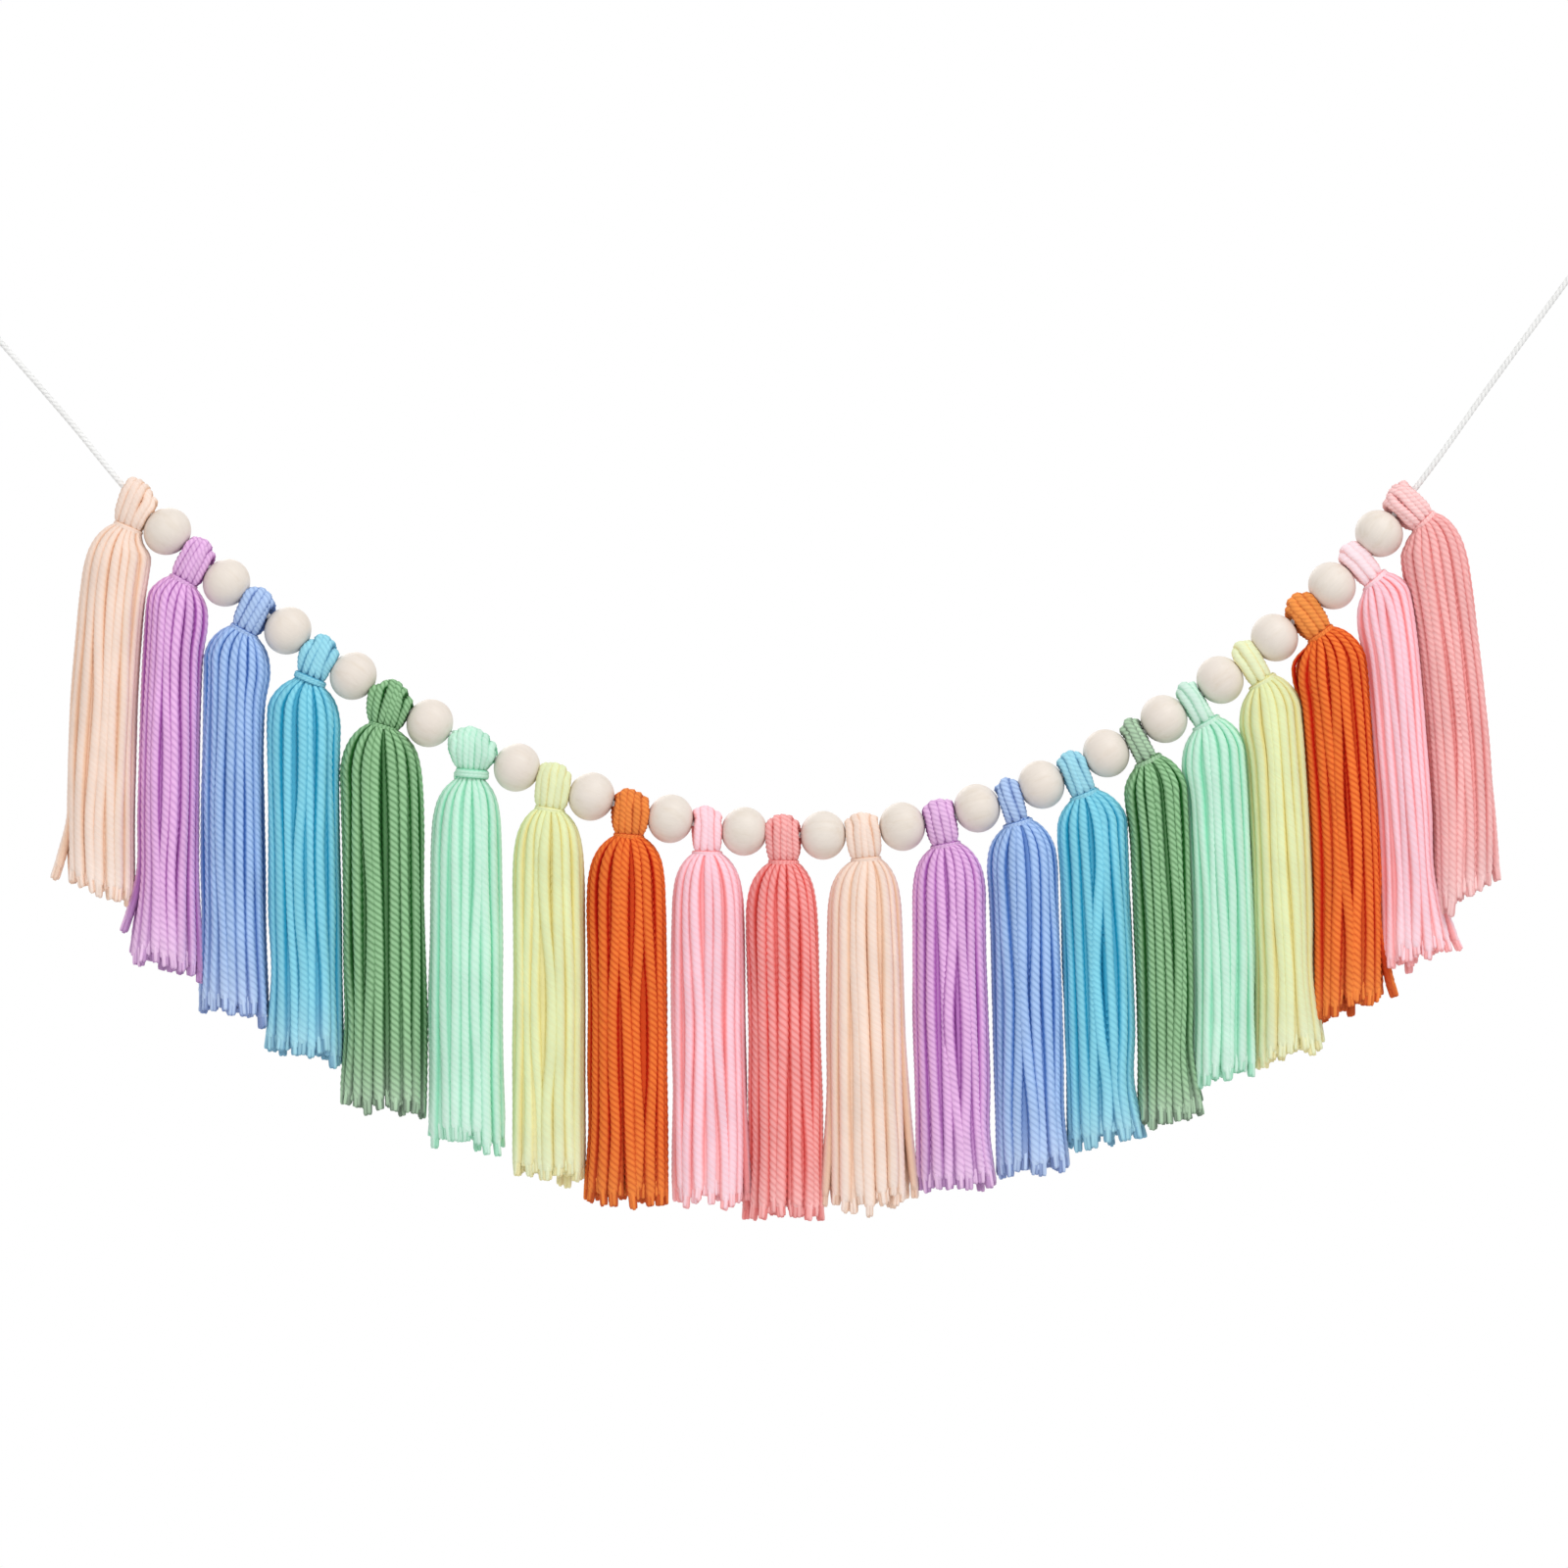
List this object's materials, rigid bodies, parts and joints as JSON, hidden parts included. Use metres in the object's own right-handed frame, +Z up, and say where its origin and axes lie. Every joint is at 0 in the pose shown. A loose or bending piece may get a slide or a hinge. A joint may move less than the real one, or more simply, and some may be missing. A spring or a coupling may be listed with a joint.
{
  "type": "yarn tassel garland",
  "caption": "Hanging garland of long yarn tassels in soft mixed colours, parted by round wooden beads, on a thin white cord with a loop at each end.",
  "frame": {"origin": "inside of the left hanging loop, where its hook bears, on the cord's middle plane", "axes": "+X to the right along the garland, +Y away from the viewer towards the wall, +Z up"},
  "size_m": [0.5521, 0.021, 0.3309],
  "materials": {
    "peach_yarn": "matte",
    "orchid_yarn": "matte",
    "periwinkle_yarn": "matte",
    "sky_yarn": "matte",
    "sage_yarn": "matte",
    "mint_yarn": "matte",
    "lime_yarn": "matte",
    "rust_yarn": "matte",
    "pink_yarn": "matte",
    "coral_yarn": "matte",
    "natural_wood": "satin",
    "white_cord": "matte"
  },
  "bodies": {
    "cord": {"cord": "white_cord"},
    "tassel_01": {"tassel_01": "peach_yarn", "neck_tie_01": "peach_yarn"},
    "tassel_02": {"tassel_02": "orchid_yarn", "neck_tie_02": "orchid_yarn"},
    "tassel_03": {"tassel_03": "periwinkle_yarn", "neck_tie_03": "periwinkle_yarn"},
    "tassel_04": {"tassel_04": "sky_yarn", "neck_tie_04": "sky_yarn"},
    "tassel_05": {"tassel_05": "sage_yarn", "neck_tie_05": "sage_yarn"},
    "tassel_06": {"tassel_06": "mint_yarn", "neck_tie_06": "mint_yarn"},
    "tassel_07": {"tassel_07": "lime_yarn", "neck_tie_07": "lime_yarn"},
    "tassel_08": {"tassel_08": "rust_yarn", "neck_tie_08": "rust_yarn"},
    "tassel_09": {"tassel_09": "pink_yarn", "neck_tie_09": "pink_yarn"},
    "tassel_10": {"tassel_10": "coral_yarn", "neck_tie_10": "coral_yarn"},
    "tassel_11": {"tassel_11": "peach_yarn", "neck_tie_11": "peach_yarn"},
    "tassel_12": {"tassel_12": "orchid_yarn", "neck_tie_12": "orchid_yarn"},
    "tassel_13": {"tassel_13": "periwinkle_yarn", "neck_tie_13": "periwinkle_yarn"},
    "tassel_14": {"tassel_14": "sky_yarn", "neck_tie_14": "sky_yarn"},
    "tassel_15": {"tassel_15": "sage_yarn", "neck_tie_15": "sage_yarn"},
    "tassel_16": {"tassel_16": "mint_yarn", "neck_tie_16": "mint_yarn"},
    "tassel_17": {"tassel_17": "lime_yarn", "neck_tie_17": "lime_yarn"},
    "tassel_18": {"tassel_18": "rust_yarn", "neck_tie_18": "rust_yarn"},
    "tassel_19": {"tassel_19": "pink_yarn", "neck_tie_19": "pink_yarn"},
    "tassel_20": {"tassel_20": "coral_yarn", "neck_tie_20": "coral_yarn"},
    "bead_01": {"bead_01": "natural_wood"},
    "bead_02": {"bead_02": "natural_wood"},
    "bead_03": {"bead_03": "natural_wood"},
    "bead_04": {"bead_04": "natural_wood"},
    "bead_05": {"bead_05": "natural_wood"},
    "bead_06": {"bead_06": "natural_wood"},
    "bead_07": {"bead_07": "natural_wood"},
    "bead_08": {"bead_08": "natural_wood"},
    "bead_09": {"bead_09": "natural_wood"},
    "bead_10": {"bead_10": "natural_wood"},
    "bead_11": {"bead_11": "natural_wood"},
    "bead_12": {"bead_12": "natural_wood"},
    "bead_13": {"bead_13": "natural_wood"},
    "bead_14": {"bead_14": "natural_wood"},
    "bead_15": {"bead_15": "natural_wood"},
    "bead_16": {"bead_16": "natural_wood"},
    "bead_17": {"bead_17": "natural_wood"},
    "bead_18": {"bead_18": "natural_wood"},
    "bead_19": {"bead_19": "natural_wood"}
  },
  "joints": [
    {"name": "tassel_01_swing", "type": "hinge", "parent": "cord", "child": "tassel_01", "pos_m": [0.06278, 0, -0.07296], "axis": [1, 0, 0], "range_deg": [-25, 25]},
    {"name": "tassel_02_swing", "type": "hinge", "parent": "cord", "child": "tassel_02", "pos_m": [0.08179, 0, -0.09084], "axis": [1, 0, 0], "range_deg": [-30, 30]},
    {"name": "tassel_03_swing", "type": "hinge", "parent": "cord", "child": "tassel_03", "pos_m": [0.10146, 0, -0.10706], "axis": [1, 0, 0], "range_deg": [-35, 35]},
    {"name": "tassel_04_swing", "type": "hinge", "parent": "cord", "child": "tassel_04", "pos_m": [0.12217, 0, -0.12227], "axis": [1, 0, 0], "range_deg": [-35, 35]},
    {"name": "tassel_05_swing", "type": "hinge", "parent": "cord", "child": "tassel_05", "pos_m": [0.14535, 0, -0.1374], "axis": [1, 0, 0], "range_deg": [-40, 40]},
    {"name": "tassel_06_swing", "type": "hinge", "parent": "cord", "child": "tassel_06", "pos_m": [0.17196, 0, -0.15258], "axis": [1, 0, 0], "range_deg": [-45, 45]},
    {"name": "tassel_07_swing", "type": "hinge", "parent": "cord", "child": "tassel_07", "pos_m": [0.19845, 0, -0.16439], "axis": [1, 0, 0], "range_deg": [-60, 60]},
    {"name": "tassel_08_swing", "type": "hinge", "parent": "cord", "child": "tassel_08", "pos_m": [0.2235, 0, -0.17288], "axis": [1, 0, 0], "range_deg": [-75, 75]},
    {"name": "tassel_09_swing", "type": "hinge", "parent": "cord", "child": "tassel_09", "pos_m": [0.24852, 0, -0.17847], "axis": [1, 0, 0], "range_deg": [-90, 90]},
    {"name": "tassel_10_swing", "type": "hinge", "parent": "cord", "child": "tassel_10", "pos_m": [0.27347, 0, -0.18139], "axis": [1, 0, 0], "range_deg": [-90, 90]},
    {"name": "tassel_11_swing", "type": "hinge", "parent": "cord", "child": "tassel_11", "pos_m": [0.29933, 0, -0.1806], "axis": [1, 0, 0], "range_deg": [-90, 90]},
    {"name": "tassel_12_swing", "type": "hinge", "parent": "cord", "child": "tassel_12", "pos_m": [0.3245, 0, -0.17604], "axis": [1, 0, 0], "range_deg": [-75, 75]},
    {"name": "tassel_13_swing", "type": "hinge", "parent": "cord", "child": "tassel_13", "pos_m": [0.34722, 0, -0.16915], "axis": [1, 0, 0], "range_deg": [-55, 55]},
    {"name": "tassel_14_swing", "type": "hinge", "parent": "cord", "child": "tassel_14", "pos_m": [0.36831, 0, -0.16013], "axis": [1, 0, 0], "range_deg": [-45, 45]},
    {"name": "tassel_15_swing", "type": "hinge", "parent": "cord", "child": "tassel_15", "pos_m": [0.38835, 0, -0.1494], "axis": [1, 0, 0], "range_deg": [-35, 35]},
    {"name": "tassel_16_swing", "type": "hinge", "parent": "cord", "child": "tassel_16", "pos_m": [0.4069, 0, -0.13734], "axis": [1, 0, 0], "range_deg": [-30, 30]},
    {"name": "tassel_17_swing", "type": "hinge", "parent": "cord", "child": "tassel_17", "pos_m": [0.42496, 0, -0.12404], "axis": [1, 0, 0], "range_deg": [-30, 30]},
    {"name": "tassel_18_swing", "type": "hinge", "parent": "cord", "child": "tassel_18", "pos_m": [0.44335, 0, -0.10876], "axis": [1, 0, 0], "range_deg": [-25, 25]},
    {"name": "tassel_19_swing", "type": "hinge", "parent": "cord", "child": "tassel_19", "pos_m": [0.4604, 0, -0.09173], "axis": [1, 0, 0], "range_deg": [-25, 25]},
    {"name": "tassel_20_swing", "type": "hinge", "parent": "cord", "child": "tassel_20", "pos_m": [0.47599, 0, -0.07299], "axis": [1, 0, 0], "range_deg": [-25, 25]},
    {"name": "bead_01_spin", "type": "hinge", "parent": "cord", "child": "bead_01", "pos_m": [0.07227, 0, -0.08229], "axis": [0.7316, 0, -0.6817], "continuous": true},
    {"name": "bead_02_spin", "type": "hinge", "parent": "cord", "child": "bead_02", "pos_m": [0.09156, 0, -0.0991], "axis": [0.7703, 0, -0.6377], "continuous": true},
    {"name": "bead_03_spin", "type": "hinge", "parent": "cord", "child": "bead_03", "pos_m": [0.11158, 0, -0.11472], "axis": [0.8067, 0, -0.591], "continuous": true},
    {"name": "bead_04_spin", "type": "hinge", "parent": "cord", "child": "bead_04", "pos_m": [0.13296, 0, -0.12951], "axis": [0.8379, 0, -0.5458], "continuous": true},
    {"name": "bead_05_spin", "type": "hinge", "parent": "cord", "child": "bead_05", "pos_m": [0.15794, 0, -0.14495], "axis": [0.8672, 0, -0.498], "continuous": true},
    {"name": "bead_06_spin", "type": "hinge", "parent": "cord", "child": "bead_06", "pos_m": [0.18638, 0, -0.1594], "axis": [0.918, 0, -0.3966], "continuous": true},
    {"name": "bead_07_spin", "type": "hinge", "parent": "cord", "child": "bead_07", "pos_m": [0.2107, 0, -0.16888], "axis": [0.946, 0, -0.3241], "continuous": true},
    {"name": "bead_08_spin", "type": "hinge", "parent": "cord", "child": "bead_08", "pos_m": [0.23651, 0, -0.17613], "axis": [0.9769, 0, -0.2136], "continuous": true},
    {"name": "bead_09_spin", "type": "hinge", "parent": "cord", "child": "bead_09", "pos_m": [0.26062, 0, -0.18026], "axis": [0.9929, 0, -0.1189], "continuous": true},
    {"name": "bead_10_spin", "type": "hinge", "parent": "cord", "child": "bead_10", "pos_m": [0.28637, 0, -0.18155], "axis": [0.9996, 0, 0.0283], "continuous": true},
    {"name": "bead_11_spin", "type": "hinge", "parent": "cord", "child": "bead_11", "pos_m": [0.31219, 0, -0.17869], "axis": [0.9831, 0, 0.1832], "continuous": true},
    {"name": "bead_12_spin", "type": "hinge", "parent": "cord", "child": "bead_12", "pos_m": [0.33664, 0, -0.17271], "axis": [0.9573, 0, 0.2891], "continuous": true},
    {"name": "bead_13_spin", "type": "hinge", "parent": "cord", "child": "bead_13", "pos_m": [0.35759, 0, -0.16502], "axis": [0.9187, 0, 0.395], "continuous": true},
    {"name": "bead_14_spin", "type": "hinge", "parent": "cord", "child": "bead_14", "pos_m": [0.37881, 0, -0.15479], "axis": [0.8829, 0, 0.4695], "continuous": true},
    {"name": "bead_15_spin", "type": "hinge", "parent": "cord", "child": "bead_15", "pos_m": [0.39765, 0, -0.14359], "axis": [0.8375, 0, 0.5465], "continuous": true},
    {"name": "bead_16_spin", "type": "hinge", "parent": "cord", "child": "bead_16", "pos_m": [0.41596, 0, -0.13082], "axis": [0.8056, 0, 0.5924], "continuous": true},
    {"name": "bead_17_spin", "type": "hinge", "parent": "cord", "child": "bead_17", "pos_m": [0.43377, 0, -0.11701], "axis": [0.7711, 0, 0.6367], "continuous": true},
    {"name": "bead_18_spin", "type": "hinge", "parent": "cord", "child": "bead_18", "pos_m": [0.45253, 0, -0.10007], "axis": [0.7063, 0, 0.708], "continuous": true},
    {"name": "bead_19_spin", "type": "hinge", "parent": "cord", "child": "bead_19", "pos_m": [0.46788, 0, -0.08303], "axis": [0.6382, 0, 0.7698], "continuous": true}
  ]
}
